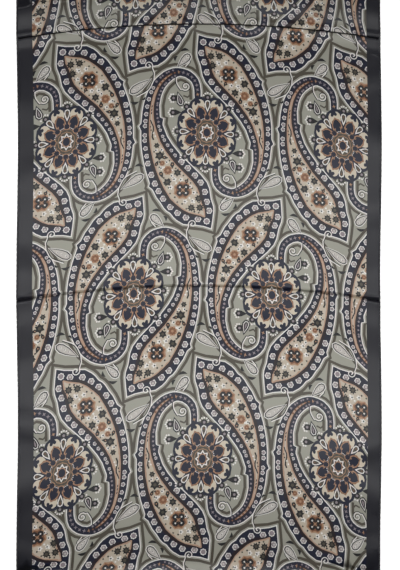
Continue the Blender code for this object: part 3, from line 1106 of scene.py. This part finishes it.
@dataclass
class LaidForm:
    """How the shawl lies: its bow, its sway, its folds, its tucks and the ripples at its edges."""

    half_width: float = 0.275
    half_length: float = 0.800
    bow: float = 0.0225
    bow_left_at_ends: float = 0.45
    bow_even_to: float = 0.43
    sway: float = 0.0012
    sway_wavelength: float = 0.42
    sway_start: float = 0.13
    slot: float = 0.0034  # from the fold line to a lip, in the middle and at the edges
    slot_at_edges: float = 0.0050
    fold_fall: float = 1.6
    step: float = 1e-4
    section: np.ndarray = field(init=False)
    run: np.ndarray = field(init=False)

    def __post_init__(self) -> None:
        """Works out the tuck's section and the length of cloth along it."""
        self.section = np.array(smooth(TUCK_SECTION, 0.5)) * MM
        self.run = np.concatenate([[0.0], np.cumsum(np.abs(np.diff(self.section)))])

    @property
    def hidden(self) -> float:
        """Gives the length of cloth that one tuck takes up."""
        return float(self.run[-1] - (self.section[-1] - self.section[0]).real)

    @property
    def cut_half_length(self) -> float:
        """Gives half the length that the cloth was cut to."""
        return self.half_length + self.hidden

    def tuck_start(self, tuck: Tuck) -> float:
        """Gives where a tuck's section starts, on the cut cloth."""
        return tuck.along - tuck.facing * float(self.section[0].real)

    def tuck_place(self, tuck: Tuck, run: float) -> float:
        """Gives the place on the cut cloth at this length along a tuck's section."""
        return self.tuck_start(tuck) - tuck.facing * run

    def bow_at(self, along: np.ndarray) -> np.ndarray:
        """Gives how far the middle of the width lies ahead of its edges."""
        past = (np.abs(along) - self.bow_even_to) / (self.half_length - self.bow_even_to)
        return self.bow * (self.bow_left_at_ends + (1 - self.bow_left_at_ends) * faded(past))

    def fold_lift(self, across: np.ndarray, along: np.ndarray) -> np.ndarray:
        """Gives the form of the storage fold across the middle.

        Args:
            across: places across the width.
            along: places along the length, as laid.

        Returns:
            How high it lifts the cloth.
        """
        lift = np.zeros_like(along)
        spread = (across / self.half_width) ** 2
        slot = self.slot + (self.slot_at_edges - self.slot) * spread**2
        for fold in FOLDS:
            off = along * fold.way - slot
            share = fold.middle_share + (1 - fold.middle_share) * spread
            slope = (1 - np.clip(off / fold.slope, 0, 1)) ** self.fold_fall
            wall = 1 - np.clip(-off / slot, 0, 1) ** 2
            lift = np.maximum(lift, fold.height * share * np.where(off > 0, slope, wall))
        return lift

    def ripple_lift(self, across: np.ndarray, along: np.ndarray) -> np.ndarray:
        """Adds up the ripples of both edges.

        Args:
            across: places across the width.
            along: places along the length, as laid.

        Returns:
            How high they lift the cloth.
        """
        lift = np.zeros_like(along)
        inwards = self.half_width - np.abs(across)
        for side, ripples in ((across < 0, LEFT_RIPPLES), (across >= 0, RIGHT_RIPPLES)):
            for ripple in ripples:
                crest = ripple.along - ripple.lean * inwards / ripple.reach_in
                swell = faded(np.abs(along - crest) / ripple.half_length)
                lift += side * ripple.height * swell * faded(inwards / ripple.reach_in)
        return lift

    def laid(self, across: np.ndarray, cut: np.ndarray) -> np.ndarray:
        """Lays the cloth's underside.

        Args:
            across: places across the width, in metres.
            cut: places along the cut cloth, in metres.

        Returns:
            One row of x, y and z for each place.
        """
        along = cut.copy()
        lift = np.zeros_like(cut)
        spread = (across / self.half_width) ** 2
        for tuck in TUCKS:
            run = (self.tuck_start(tuck) - cut) * tuck.facing
            inside = (run > 0) & (run < self.run[-1])
            off = np.interp(run, self.run, self.section.real)
            height = np.interp(run, self.run, self.section.imag)
            share = tuck.middle_share + (1 - tuck.middle_share) * spread
            along = np.where(inside, tuck.along - tuck.facing * off, along)
            along = np.where(run >= self.run[-1], cut + tuck.facing * self.hidden, along)
            lift = np.where(inside, height * share, lift)
        high = np.maximum(lift, np.maximum(self.fold_lift(across, along), self.ripple_lift(across, along)))
        lift = np.where(lift > 0, lift + 0.5 * (high - lift) * (lift > 0.003), high)
        x = across + self.sway * np.sin(math.tau * (along - self.sway_start) / self.sway_wavelength)
        y = along + self.bow_at(along) * (0.5 - spread)
        return np.stack([x, y, lift], axis=1)

    def facing(self, across: np.ndarray, cut: np.ndarray) -> np.ndarray:
        """Finds which way the cloth's face looks.

        Args:
            across: places across the width, in metres.
            cut: places along the cut cloth, in metres.

        Returns:
            A unit vector for each place.
        """
        right = self.laid(across + self.step, cut) - self.laid(across - self.step, cut)
        up = self.laid(across, cut + self.step) - self.laid(across, cut - self.step)
        out = np.cross(right, up)
        return out / np.linalg.norm(out, axis=1)[:, None]


# ---- The pieces ----

Spots = Sequence[Vector]
Pairs = list[tuple[int, int]]
Triangles = list[list[int]]


def linked(name: str, data: bpy.types.ID) -> bpy.types.Object:
    """Puts a new object into the scene.

    Args:
        name: its name.
        data: its mesh, light or camera.

    Returns:
        The object.
    """
    made = bpy.data.objects.new(name, data)
    bpy.context.scene.collection.objects.link(made)
    return made


@dataclass
class ClothPanel:
    """The printed cloth: a thin closed shell whose upper face is divided along the print."""

    form: LaidForm
    printed: PaisleyPrint
    name: str = "printed_silk_cloth"
    half_width: float = 0.2732
    end_margin: float = 0.0018
    thickness: float = 0.0005
    face_pitch: float = 14.0  # mm between the places that carry the form
    back_pitch: float = 15.0
    bend_slack: float = 0.22  # mm that a row may be spared by where a tuck bends
    shut_from: float = 27.5  # mm along a tuck's section, from where the cloth is shut in and printed plain charcoal as painted shade in the crevice
    shut_to: float = 47.0
    wide: float = field(init=False)  # half the cut width and length, in millimetres
    long: float = field(init=False)

    def __post_init__(self) -> None:
        """Works out the size of the cut panel."""
        self.wide = self.half_width / MM
        self.long = (self.form.cut_half_length - self.end_margin) / MM

    def outlines(self) -> list[tuple[Ink, np.ndarray]]:
        """Collects every patch of dye, lowest first, then a plain charcoal strip in each tuck as painted
        shade in its crevice, and the plain border last.

        Returns:
            Ink and outline of each.
        """

        def oblong(left: float, right: float, low: float, high: float) -> np.ndarray:
            """Draws an oblong."""
            return np.array([left + 1j * low, right + 1j * low, right + 1j * high, left + 1j * high])

        layers = [(Ink.SAGE, oblong(-self.wide, self.wide, -self.long, self.long))]
        layers += self.printed.patches(self.long)
        # Painted shade: each tuck's crevice, shut in between the lower lip and the roll, is printed plain
        # charcoal, so that a dark line shows through the gap; the rest of the strip lies hidden.
        for tuck in TUCKS:
            ends = sorted(self.form.tuck_place(tuck, run * MM) / MM for run in (self.shut_from, self.shut_to))
            layers.append((Ink.CHARCOAL, oblong(-self.wide, self.wide, *ends)))
        out, past = self.wide + 5, self.long + 5
        for left, right in ((-out, self.printed.field_left), (self.printed.field_right, out)):
            layers.append((Ink.BAND, oblong(left, right, -past, past)))
        return layers

    def ink_borders(self) -> tuple[Spots, Pairs, BVHTree, list[Ink]]:
        """Lays all patches over each other and keeps the lines where the ink changes.

        Returns:
            Places, the lines between them, a tree to look the ink up in, and its faces' inks.
        """
        layers = self.outlines()
        places = []
        faces = []
        for _, outline in layers:
            turned = (outline.conjugate() * np.roll(outline, -1)).imag.sum() < 0
            faces.append(list(range(len(places), len(places) + len(outline))))
            places.extend(Vector((spot.real, spot.imag)) for spot in (outline[::-1] if turned else outline))
        corners, _, triangles, _, _, under = delaunay_2d_cdt(places, [], faces, 0, 1e-4, True)
        seen = [layers[max(below)][0] if 0 in below else None for below in under]
        beside: dict[tuple[int, int], list[Ink]] = {}
        for ink, triangle in zip(seen, triangles):
            if ink is not None:
                for start, end in zip(triangle, triangle[1:] + triangle[:1]):
                    beside.setdefault((min(start, end), max(start, end)), []).append(ink)
        lines = [pair for pair, found in beside.items() if len(found) == 1 or found[0] != found[1]]
        used = sorted({corner for pair in lines for corner in pair})
        number = {corner: n for n, corner in enumerate(used)}
        tree = BVHTree.FromPolygons([(spot.x, spot.y, 0.0) for spot in corners], triangles)
        numbered = [(number[start], number[end]) for start, end in lines]
        return [corners[n] for n in used], numbered, tree, [ink or Ink.SAGE for ink in seen]

    def bend_rows(self) -> list[float]:
        """Places rows along the tucks and the fold, close where the cloth bends.

        Returns:
            Where they cross the cut cloth, in millimetres.
        """
        section = list(self.form.section / MM)
        kept = set(spared(section, self.bend_slack))
        runs = [run for spot, run in zip(section, self.form.run) if spot in kept]
        rows = [self.form.tuck_place(tuck, run) / MM for tuck in TUCKS for run in runs]
        return [*rows, *FOLD_ROWS, *(-row for row in FOLD_ROWS[1:])]

    def framework(self, pitch: float) -> tuple[Spots, Pairs]:
        """Places what carries the form: a net of places, and lines along the bends.

        Args:
            pitch: mm between the places of the net.

        Returns:
            Places, and lines between them.
        """
        across = np.linspace(-self.wide, self.wide, round(2 * self.wide / pitch) + 1)
        count = round(2 * self.long / pitch)
        evenly = [self.long * (2 * n / count - 1) for n in range(count + 1)]
        rows = [-self.long, self.long, *self.bend_rows()]
        slopes = [way * row for row in SLOPE_ROWS for way in (-1, 1)]
        clear = [row for row in evenly if all(abs(row - other) > pitch * 0.6 for other in (*rows, *slopes))]
        places = [Vector((x, row)) for row in (*rows, *slopes, *clear) for x in across]
        firsts = range(0, len(rows) * len(across), len(across))
        return places, [(first + n, first + n + 1) for first in firsts for n in range(len(across) - 1)]

    def rim(self, places: Spots) -> list[int]:
        """Finds the places on the panel's edge, in order round it.

        Args:
            places: all places of the upper face.

        Returns:
            Their numbers, counter-clockwise from the lower left corner.
        """
        near = 1e-3
        sides: list[list[tuple[float, int]]] = [[], [], [], []]
        for n, (x, y) in enumerate(places):
            if y < near - self.long and x < self.wide - near:
                sides[0].append((x, n))
            elif x > self.wide - near and y < self.long - near:
                sides[1].append((y, n))
            elif y > self.long - near and x > near - self.wide:
                sides[2].append((-x, n))
            elif x < near - self.wide and y > near - self.long:
                sides[3].append((-y, n))
        return [n for side in sides for _, n in sorted(side)]

    def back(self, edge: Spots) -> tuple[Spots, Triangles]:
        """Divides the plain underside, on the same edge as the face.

        Args:
            edge: the places on the panel's edge, in order.

        Returns:
            Places, of which the edge's come first, and triangles.
        """
        net, net_lines = self.framework(self.back_pitch)
        count = len(edge)
        inner = [n for n, (x, y) in enumerate(net) if abs(x) < self.wide - 1 and abs(y) < self.long - 1]
        kept = {n: count + place for place, n in enumerate(inner)}
        lines = [(n, (n + 1) % count) for n in range(count)]
        lines.extend((kept[a], kept[b]) for a, b in net_lines if a in kept and b in kept)
        places = [*edge, *(net[n] for n in inner)]
        places, _, triangles, *_ = delaunay_2d_cdt(places, lines, [], 0, 1e-4, True)
        return places, triangles

    def build(self) -> bpy.types.Object:
        """Divides the cloth along its print and its bends, closes the shell and dresses it.

        Returns:
            The finished piece.
        """
        borders, lines, tree, inks = self.ink_borders()
        net, net_lines = self.framework(self.face_pitch)
        shift = len(borders)
        lines.extend((start + shift, end + shift) for start, end in net_lines)
        face, _, triangles, *_ = delaunay_2d_cdt([*borders, *net], lines, [], 0, 1e-4, True)
        palette = list(Ink)
        slots = []
        for triangle in triangles:
            middle = (face[triangle[0]] + face[triangle[1]] + face[triangle[2]]) / 3
            found = tree.ray_cast(Vector((middle.x, middle.y, 1.0)), Vector((0.0, 0.0, -1.0)))[2]
            slots.append(palette.index(inks[found]) if found is not None else 0)
        rim = self.rim(face)
        back, back_triangles = self.back([face[n] for n in rim])
        upper = len(face)
        triangles = [*triangles, *([upper + n for n in reversed(triangle)] for triangle in back_triangles)]
        for n, here in enumerate(rim):
            after = (n + 1) % len(rim)
            triangles.append([upper + n, upper + after, rim[after]])
            triangles.append([upper + n, rim[after], here])
        slots += [palette.index(Ink.SAGE)] * len(back_triangles) + [palette.index(Ink.BAND)] * 2 * len(rim)
        return self.mesh([*face, *back], upper, triangles, slots)

    def mesh(self, places: Spots, upper: int, triangles: Triangles, slots: list[int]) -> bpy.types.Object:
        """Lays the divided cloth and makes its mesh.

        Args:
            places: places on the cut cloth, of the upper face and then of the underside.
            upper: how many are of the upper face.
            triangles: the triangles between them.
            slots: the number of each triangle's ink.

        Returns:
            The object.
        """
        flat = np.array([(spot.x, spot.y) for spot in places]) * MM
        laid = self.form.laid(flat[:, 0], flat[:, 1])
        looks = self.form.facing(flat[:, 0], flat[:, 1])
        laid[:upper] += looks[:upper] * self.thickness
        looks[upper:] *= -1
        mesh = bpy.data.meshes.new(self.name)
        mesh.from_pydata(laid.tolist(), [], triangles)
        for ink in Ink:
            mesh.materials.append(SilkSatin(f"silk_satin_{ink.name.lower()}", ink.value).material())
        mesh.polygons.foreach_set("material_index", slots)
        mesh.polygons.foreach_set("use_smooth", [True] * len(triangles))
        mesh.update()
        mesh.normals_split_custom_set_from_vertices(looks.tolist())
        LOG.info("%s: %d triangles", self.name, len(triangles))
        return linked(self.name, mesh)


class Side(Enum):
    """The four edges, named as the nodes of their hems are."""

    BOTTOM = "hem_bottom"
    RIGHT = "hem_right"
    TOP = "hem_top"
    LEFT = "hem_left"


@dataclass
class RolledHem:
    """One hand-rolled hem: a soft tube of cloth, pinched at even steps, and a row of stitches."""

    form: LaidForm
    side: Side
    width: float = 0.0030
    height: float = 0.0024
    pitch: float = 0.008
    pinch: float = 0.08
    uneven: float = 0.10
    ring_gap: float = 0.0016
    corners: int = 9
    thread: float = 0.00028
    stitch: float = 0.0020
    path_gap: float = 0.004
    shut_from: float = 0.0245  # along a tuck's section, from where its upper layer hides the hem
    shut_to: float = 0.0500

    def path(self) -> np.ndarray:
        """Lays the hem's middle line, with the cloth on its left.

        Returns:
            One row of x, y and z for each place.
        """
        wide = self.form.half_width - self.width / 2
        long = self.form.cut_half_length - self.width / 2
        if self.side in (Side.BOTTOM, Side.TOP):
            reach = wide - (self.width / 2 + 0.0003)
            across = np.linspace(-1, 1, round(2 * reach / self.path_gap) + 1) * reach
            cut = np.full_like(across, -long)
        else:
            reach = self.form.cut_half_length
            cut = np.linspace(-1, 1, round(2 * reach / self.path_gap) + 1) * reach
            cut = np.union1d(cut[np.abs(cut) > 0.009], np.linspace(-9, 9, 21) * MM)
            cut = np.array([place for place in cut if not self.shut_in(place)])
            across = np.full_like(cut, wide)
        if self.side is Side.TOP:
            across, cut = -across, -cut
        elif self.side is Side.LEFT:
            across, cut = -across, cut[::-1]
        return self.form.laid(across, cut)

    def shut_in(self, cut: float) -> bool:
        """Tells whether a tuck's upper layer lies over this place on the cut cloth."""
        runs = [(self.form.tuck_start(tuck) - cut) * tuck.facing for tuck in TUCKS]
        return any(self.shut_from < run < self.shut_to for run in runs)

    def sizes(self) -> dict[str, float]:
        """Gives what the node tree takes in, by name.

        Returns:
            The sizes in metres, two shares, and the seed of the unevenness.
        """
        return {
            "Width": self.width,
            "Height": self.height,
            "Pitch": self.pitch,
            "Pinch": self.pinch,
            "Uneven": self.uneven,
            "Ring Gap": self.ring_gap,
            "Thread": self.thread,
            "Stitch": self.stitch,
            "Seed": float(list(Side).index(self.side)),
        }

    def tree(self, silk: bpy.types.Material, sewing: bpy.types.Material) -> bpy.types.NodeTree:
        """Makes the node tree that rolls the cloth round a path and sews it.

        Args:
            silk: what the roll is made of.
            sewing: what the stitches are made of.

        Returns:
            The tree.
        """
        tree = bpy.data.node_groups.new(f"rolled_{self.side.value}", "GeometryNodeTree")
        tree.interface.new_socket("Path", in_out="INPUT", socket_type="NodeSocketGeometry")
        for name in self.sizes():
            tree.interface.new_socket(name, in_out="INPUT", socket_type="NodeSocketFloat")
        tree.interface.new_socket("Hem", in_out="OUTPUT", socket_type="NodeSocketGeometry")
        given = add(tree, "NodeGroupInput").outputs
        width, height, pitch = given["Width"], given["Height"], given["Pitch"]
        thread, stitch = given["Thread"], given["Stitch"]

        # The roll, slimmer at even steps and a little uneven.
        curve = add(tree, "GeometryNodeMeshToCurve", {"Mesh": given["Path"]})
        spaced = {"Curve": curve, "Length": given["Ring Gap"]}
        even = add(tree, "GeometryNodeResampleCurve", spaced, mode="LENGTH")
        upright = add(tree, "GeometryNodeSetCurveNormal", {"Curve": even}, mode="Z_UP")
        run = add(tree, "GeometryNodeSplineParameter").outputs["Length"]
        turns = add(tree, "ShaderNodeMath", {0: run, 1: pitch}, operation="DIVIDE")
        angle = add(tree, "ShaderNodeMath", {0: turns, 1: math.tau}, operation="MULTIPLY")
        wave = add(tree, "ShaderNodeMath", {0: angle}, operation="COSINE")
        pinch = add(tree, "ShaderNodeMath", {0: wave, 1: given["Pinch"]}, operation="MULTIPLY")
        place = add(tree, "GeometryNodeInputPosition")
        grain = {"Vector": place, "W": given["Seed"], "Scale": 90.0, "Detail": 1.0}
        noise = add(tree, "ShaderNodeTexNoise", grain, noise_dimensions="4D")
        swing = add(tree, "ShaderNodeMath", {0: noise, 1: 0.5}, operation="SUBTRACT")
        uneven = add(tree, "ShaderNodeMath", {0: swing, 1: given["Uneven"]}, operation="MULTIPLY")
        slimmer = add(tree, "ShaderNodeMath", {0: 1.0, 1: pinch}, operation="SUBTRACT")
        radius = add(tree, "ShaderNodeMath", {0: slimmer, 1: uneven}, operation="ADD")
        circle = add(tree, "GeometryNodeCurvePrimitiveCircle", {"Resolution": self.corners, "Radius": 0.5})
        size = add(tree, "ShaderNodeCombineXYZ", {"X": width, "Y": height, "Z": width})
        oval = add(tree, "GeometryNodeTransform", {"Geometry": circle, "Scale": size})
        swept = {"Curve": upright, "Profile Curve": oval, "Scale": radius, "Fill Caps": True}
        tube = add(tree, "GeometryNodeCurveToMesh", swept)
        soft = add(tree, "GeometryNodeSetShadeSmooth", {"Geometry": tube})
        rolled = add(tree, "GeometryNodeSetMaterial", {"Geometry": soft, "Material": silk})

        # The stitches, upright threads in a row just clear of the roll's outer side.
        points = add(tree, "GeometryNodeCurveToPoints", {"Curve": upright, "Length": pitch}, mode="LENGTH")
        aside = {0: points.outputs["Normal"], "Scale": stitch}
        across = add(tree, "ShaderNodeVectorMath", aside, operation="SCALE")
        beside = add(tree, "GeometryNodeSetPosition", {"Geometry": points, "Offset": across})
        bead = add(tree, "GeometryNodeMeshUVSphere", {"Segments": 6, "Rings": 5, "Radius": 0.5})
        slim = add(tree, "ShaderNodeCombineXYZ", {"X": thread, "Y": stitch, "Z": thread})
        turned = {"Instance": bead, "Rotation": points.outputs["Rotation"], "Scale": slim}
        sewn = add(tree, "GeometryNodeInstanceOnPoints", {"Points": beside, **turned})
        real = add(tree, "GeometryNodeRealizeInstances", {"Geometry": sewn})
        thread_skin = add(tree, "GeometryNodeSetShadeSmooth", {"Geometry": real})
        threads = add(tree, "GeometryNodeSetMaterial", {"Geometry": thread_skin, "Material": sewing})
        joined = add(tree, "GeometryNodeJoinGeometry", {"Geometry": threads})
        tree.links.new(rolled.outputs["Geometry"], joined.inputs["Geometry"])
        add(tree, "NodeGroupOutput", {"Hem": joined})
        return tree

    def build(self, silk: bpy.types.Material, sewing: bpy.types.Material) -> bpy.types.Object:
        """Rolls and sews the hem.

        Args:
            silk: what the roll is made of.
            sewing: what the stitches are made of.

        Returns:
            The finished piece.
        """
        name = f"rolled_{self.side.value}"
        path = self.path()
        path[:, 2] += self.height / 2
        line = bpy.data.meshes.new(name)
        line.from_pydata(path.tolist(), [(n, n + 1) for n in range(len(path) - 1)], [])
        made = linked(name, line)
        rolling = made.modifiers.new("rolling", "NODES")
        tree = self.tree(silk, sewing)
        rolling.node_group = tree
        for item in tree.interface.items_tree:
            if item.name in self.sizes():
                rolling[item.identifier] = self.sizes()[item.name]
        depsgraph = bpy.context.evaluated_depsgraph_get()
        solid = bpy.data.meshes.new_from_object(made.evaluated_get(depsgraph), depsgraph=depsgraph)
        for corner in solid.vertices:
            corner.co.z = max(corner.co.z, 0.0)
        made.modifiers.clear()
        made.data = solid
        bpy.data.meshes.remove(line)
        bpy.data.node_groups.remove(tree)
        LOG.info("%s: %d faces", name, len(solid.polygons))
        return made


# ---- The studio ----


class Softbox(NamedTuple):
    """One soft rectangular light."""

    name: str
    place: tuple[float, float, float]
    target: tuple[float, float, float]
    size: tuple[float, float]
    power: float


@dataclass(frozen=True)
class Studio:
    """The pale floor, the soft lights and the camera straight above."""

    view_middle: tuple[float, float] = (0.0015, 0.0125)
    view_height: float = 0.8613
    camera_height: float = 5.0
    floor_size: float = 8.0
    floor_level: float = -0.0006
    surroundings: float = 0.04
    lights: tuple[Softbox, ...] = (
        Softbox("left_box", (-2.4, -0.6, 1.9), (0.0, 0.0, 0.0), (1.2, 1.2), 15.0),
        Softbox("right_box", (2.4, -0.6, 1.9), (0.0, 0.0, 0.0), (1.2, 1.2), 15.0),
        Softbox("upper_strip", (0.0, 0.15, 0.44), (0.0, 0.15, 0.0), (1.2, 0.08), 1.30),
        Softbox("lower_strip", (0.0, -0.20, 0.44), (0.0, -0.20, 0.0), (1.2, 0.08), 1.36),
        Softbox("far_box", (0.0, 2.3, 2.2), (0.0, 0.1, 0.0), (1.6, 0.4), 20.0),
    )

    def build(self) -> None:
        """Builds the studio."""
        self.floor()
        self.light()
        self.camera()

    def floor(self) -> None:
        """Lays the floor."""
        half = self.floor_size / 2
        corners = ((-half, -half), (half, -half), (half, half), (-half, half))
        mesh = bpy.data.meshes.new("floor")
        mesh.from_pydata([(x, y, self.floor_level) for x, y in corners], [], [(0, 1, 2, 3)])
        mesh.materials.append(MattBoard().material())
        linked("floor", mesh)

    def light(self) -> None:
        """Hangs the lights and sets the surroundings."""
        world = bpy.data.worlds.new("soft_room")
        world.use_nodes = True
        ground = world.node_tree.nodes["Background"]
        ground.inputs["Color"].default_value = (1.0, 1.0, 1.0, 1.0)
        ground.inputs["Strength"].default_value = self.surroundings
        bpy.context.scene.world = world
        for name, place, target, size, power in self.lights:
            lamp = bpy.data.lights.new(name, "AREA")
            lamp.shape = "RECTANGLE"
            lamp.size, lamp.size_y = size
            lamp.energy = power
            holder = linked(name, lamp)
            holder.location = place
            holder.rotation_euler = (Vector(target) - Vector(place)).to_track_quat("-Z", "Y").to_euler()
            holder.visible_camera = False

    def camera(self) -> None:
        """Sets the camera up, straight above the part that the photograph shows."""
        lens = bpy.data.cameras.new("camera")
        lens.sensor_fit = "VERTICAL"
        lens.sensor_height = 24.0
        lens.lens = lens.sensor_height * self.camera_height / self.view_height
        lens.clip_end = 50.0
        camera = linked("camera", lens)
        camera.location = (*self.view_middle, self.camera_height)
        bpy.context.scene.camera = camera


def main() -> None:
    """Builds the shawl and the studio."""
    logging.basicConfig(level=logging.INFO, format="%(name)s %(message)s")
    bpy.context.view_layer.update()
    bpy.context.scene.view_settings.view_transform = "Standard"
    Studio().build()
    form = LaidForm()
    cloth = ClothPanel(form=form, printed=PaisleyPrint()).build()
    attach(cloth, "root")
    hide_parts("cloth_panel")
    silk = SilkSatin(name="silk_satin_hem", colour=Ink.BAND.value).material()
    sewing = SewingSilk().material()
    for side in Side:
        hem = RolledHem(form=form, side=side).build(silk, sewing)
        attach(hem, "root")
        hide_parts(side.value)


if __name__ == "__main__":
    main()
